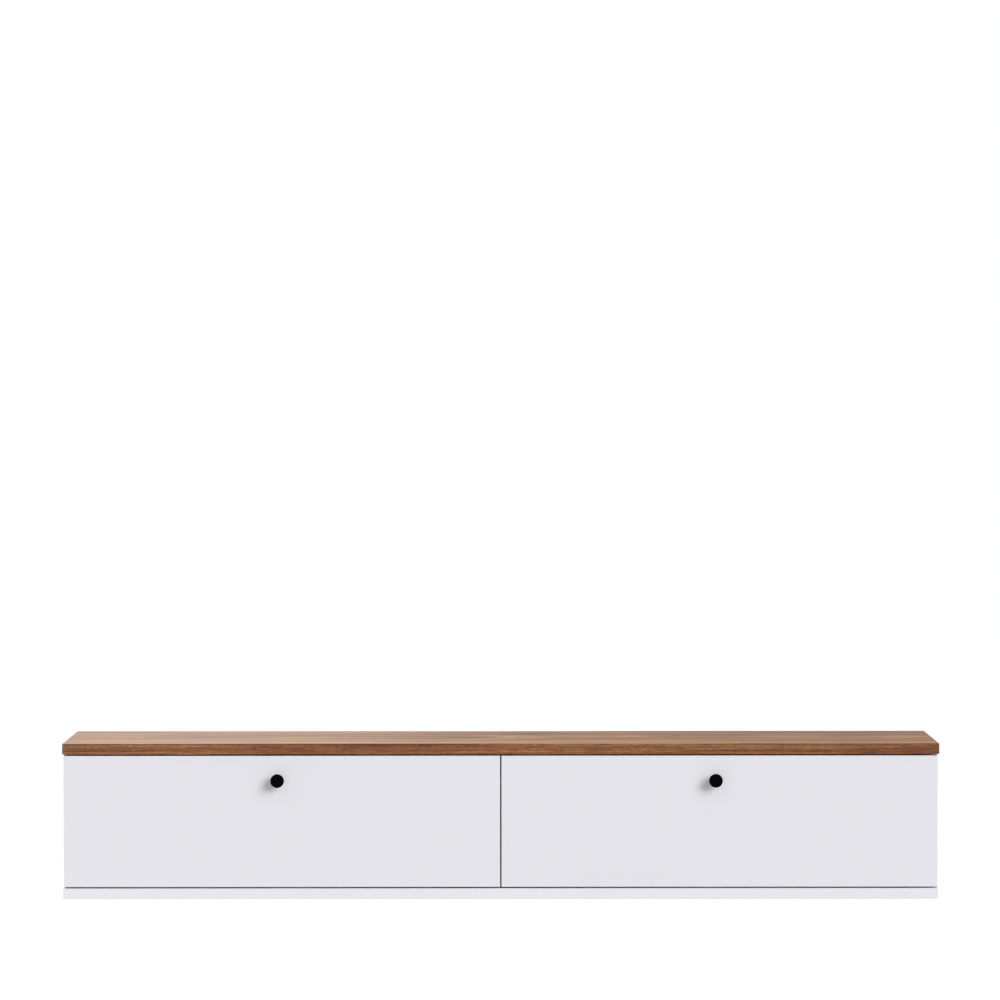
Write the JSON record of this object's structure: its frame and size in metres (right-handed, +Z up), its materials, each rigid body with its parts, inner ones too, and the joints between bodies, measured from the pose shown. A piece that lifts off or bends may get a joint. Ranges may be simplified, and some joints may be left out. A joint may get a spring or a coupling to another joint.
{
  "type": "floating media console",
  "caption": "Long wall-hung media console: walnut-veneered top, white body, drop-down flap doors on let-in hinges and soft-down stays, round black knobs, hanging on a wall rail.",
  "frame": {"origin": "middle of the wall rail's seat face, which lies on the wall", "axes": "+X along the console to the viewer's right, +Y into the wall, +Z up; the doors face -Y"},
  "size_m": [1.8, 0.343, 0.32],
  "materials": {
    "walnut_veneer": "open-pored walnut veneer, satin clear coat, fine grain along the length",
    "white_lacquer": "smooth cool-white satin lacquer on board",
    "white_hardboard": "thin white-faced hardboard",
    "black_knob": "satin black lacquer on turned metal",
    "nickel_steel": "nickel-plated pressed steel",
    "zinc_plated_steel": "bright zinc plate, slightly mottled",
    "grey_plastic": "fine-textured moulded grey plastic",
    "white_plastic": "fine-textured moulded white plastic",
    "clear_rubber": "soft clear bumper"
  },
  "bodies": {
    "carcass": {"top_panel": "walnut_veneer", "bottom_panel": "white_lacquer", "centre_divider": "white_lacquer", "back_panel": "white_hardboard", "wall_rail": "zinc_plated_steel", "left_side_panel": "white_lacquer", "left_hanger_box": "white_plastic", "left_hanger_hook": "zinc_plated_steel", "left_cable_grommet": "white_plastic", "left_inner_hinge_arm": "nickel_steel", "left_inner_hinge_plate": "nickel_steel", "left_outer_hinge_arm": "nickel_steel", "left_outer_hinge_plate": "nickel_steel", "left_stay_housing": "grey_plastic", "left_stay_damper_pin": "zinc_plated_steel", "left_magnetic_catch": "white_plastic", "left_outer_bumper": "clear_rubber", "left_inner_bumper": "clear_rubber", "right_side_panel": "white_lacquer", "right_hanger_box": "white_plastic", "right_hanger_hook": "zinc_plated_steel", "right_cable_grommet": "white_plastic", "right_inner_hinge_arm": "nickel_steel", "right_inner_hinge_plate": "nickel_steel", "right_outer_hinge_arm": "nickel_steel", "right_outer_hinge_plate": "nickel_steel", "right_stay_housing": "grey_plastic", "right_stay_damper_pin": "zinc_plated_steel", "right_magnetic_catch": "white_plastic", "right_outer_bumper": "clear_rubber", "right_inner_bumper": "clear_rubber"},
    "left_flap": {"left_door": "white_lacquer", "left_knob": "black_knob", "left_knob_screw": "zinc_plated_steel", "left_inner_hinge_housing": "nickel_steel", "left_inner_hinge_pin": "zinc_plated_steel", "left_outer_hinge_housing": "nickel_steel", "left_outer_hinge_pin": "zinc_plated_steel", "left_stay_bracket": "nickel_steel", "left_stay_flap_pin": "zinc_plated_steel", "left_strike_plate": "nickel_steel"},
    "right_flap": {"right_door": "white_lacquer", "right_knob": "black_knob", "right_knob_screw": "zinc_plated_steel", "right_inner_hinge_housing": "nickel_steel", "right_inner_hinge_pin": "zinc_plated_steel", "right_outer_hinge_housing": "nickel_steel", "right_outer_hinge_pin": "zinc_plated_steel", "right_stay_bracket": "nickel_steel", "right_stay_flap_pin": "zinc_plated_steel", "right_strike_plate": "nickel_steel"},
    "left_stay_crank": {"left_stay_crank": "nickel_steel", "left_stay_elbow_pin": "zinc_plated_steel"},
    "right_stay_crank": {"right_stay_crank": "nickel_steel", "right_stay_elbow_pin": "zinc_plated_steel"},
    "left_stay_link": {"left_stay_link": "nickel_steel"},
    "right_stay_link": {"right_stay_link": "nickel_steel"}
  },
  "joints": [
    {"name": "left_flap_hinge", "type": "hinge", "parent": "carcass", "child": "left_flap", "pos_m": [-0.44938, -0.3115, -0.20999], "axis": [1, 0, 0], "range_deg": [0, 90]},
    {"name": "left_stay_crank_pivot", "type": "hinge", "parent": "carcass", "child": "left_stay_crank", "pos_m": [-0.8646, -0.1865, -0.16499], "axis": [1, 0, 0], "range_deg": [0, 90]},
    {"name": "left_stay_link_pivot", "type": "hinge", "parent": "left_stay_crank", "child": "left_stay_link", "pos_m": [-0.861, -0.163, -0.07999], "axis": [1, 0, 0], "range_deg": [-90, 0]},
    {"name": "right_flap_hinge", "type": "hinge", "parent": "carcass", "child": "right_flap", "pos_m": [0.44938, -0.3115, -0.20999], "axis": [1, 0, 0], "range_deg": [0, 90]},
    {"name": "right_stay_crank_pivot", "type": "hinge", "parent": "carcass", "child": "right_stay_crank", "pos_m": [0.8646, -0.1865, -0.16499], "axis": [1, 0, 0], "range_deg": [0, 90]},
    {"name": "right_stay_link_pivot", "type": "hinge", "parent": "right_stay_crank", "child": "right_stay_link", "pos_m": [0.861, -0.163, -0.07999], "axis": [1, 0, 0], "range_deg": [-90, 0]}
  ],
  "couplings": [
    {"joint": "left_stay_crank_pivot", "follows": "left_flap_hinge", "ratio": 1},
    {"joint": "left_stay_link_pivot", "follows": "left_flap_hinge", "ratio": -1},
    {"joint": "right_stay_crank_pivot", "follows": "right_flap_hinge", "ratio": 1},
    {"joint": "right_stay_link_pivot", "follows": "right_flap_hinge", "ratio": -1}
  ]
}
